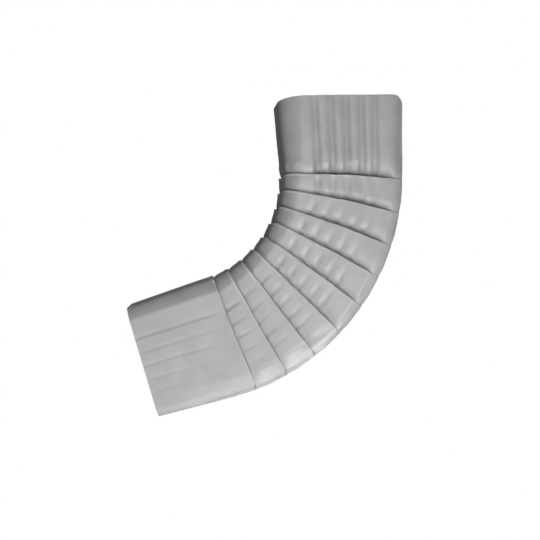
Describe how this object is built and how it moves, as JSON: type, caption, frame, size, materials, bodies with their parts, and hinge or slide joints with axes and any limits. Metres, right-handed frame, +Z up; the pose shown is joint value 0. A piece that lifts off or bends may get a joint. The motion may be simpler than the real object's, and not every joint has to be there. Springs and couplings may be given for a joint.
{
  "type": "downspout elbow",
  "caption": "Rectangular sheet-metal downspout elbow with a pleated bend, a wider fluted inlet leg and a drawn-in fluted outlet leg, open right through.",
  "frame": {"origin": "centre of the inlet mouth, in the plane of its rim", "axes": "+Z up out of the inlet, along the upper leg; the bend lies in the XZ plane and the outlet points towards -X and downwards; +Y across the elbow"},
  "size_m": [0.1932, 0.063, 0.2179],
  "materials": {
    "coated_sheet": "satin baked grey coating on thin aluminium sheet"
  },
  "bodies": {
    "root": {"elbow": "coated_sheet"}
  },
  "joints": []
}
